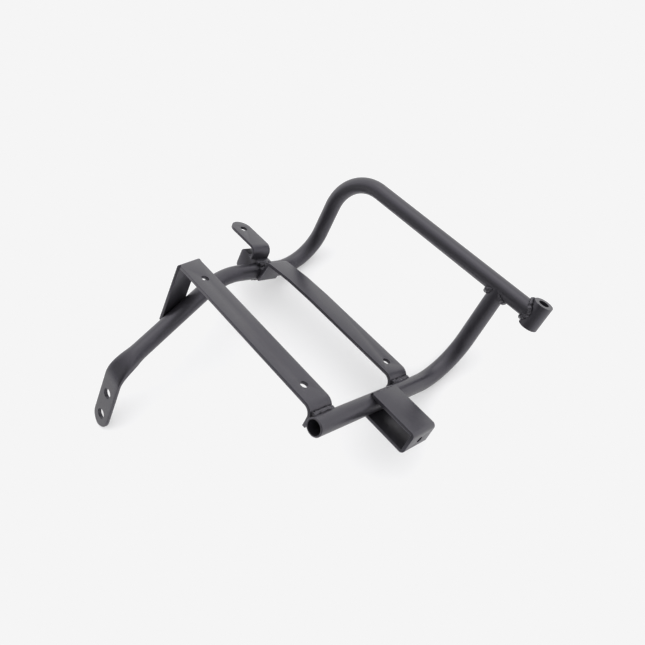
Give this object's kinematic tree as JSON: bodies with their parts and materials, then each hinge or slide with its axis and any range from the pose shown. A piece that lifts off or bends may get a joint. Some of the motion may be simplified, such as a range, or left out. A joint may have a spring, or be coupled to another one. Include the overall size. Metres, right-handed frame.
{
  "type": "pannier frame",
  "caption": "Side frame of bent steel tube that holds a pannier off a motorcycle, with flat cross bars, U brackets, a hooked tab, a bored boss and a flattened bolt end.",
  "frame": {"origin": "on the axis of the boss bore, at the height of the loop tube's axis", "axes": "+Z along the boss bore and square to the flat cross bars; +Y along the two rails, towards the loop; +X across the frame, from the long rail to the short rail"},
  "size_m": [0.2975, 0.2415, 0.269],
  "materials": {
    "tube_coat": "satin",
    "bar_coat": "satin",
    "weld_coat": "satin"
  },
  "bodies": {
    "root": {"main_tube": "tube_coat", "short_tube": "tube_coat", "boss": "tube_coat", "near_bar": "bar_coat", "far_bar": "bar_coat", "short_u_bracket": "bar_coat", "long_u_bracket": "bar_coat", "hooked_tab": "bar_coat", "weld_loop_inner": "weld_coat", "weld_loop_outer": "weld_coat", "weld_boss": "weld_coat", "weld_near_bar_rail": "weld_coat", "weld_near_bar_leg": "weld_coat", "weld_far_bar_short": "weld_coat", "weld_far_bar_long": "weld_coat", "weld_short_u_top": "weld_coat", "weld_short_u_bottom": "weld_coat", "weld_long_u_top": "weld_coat", "weld_long_u_bottom": "weld_coat", "weld_hooked_tab": "weld_coat"}
  },
  "joints": []
}
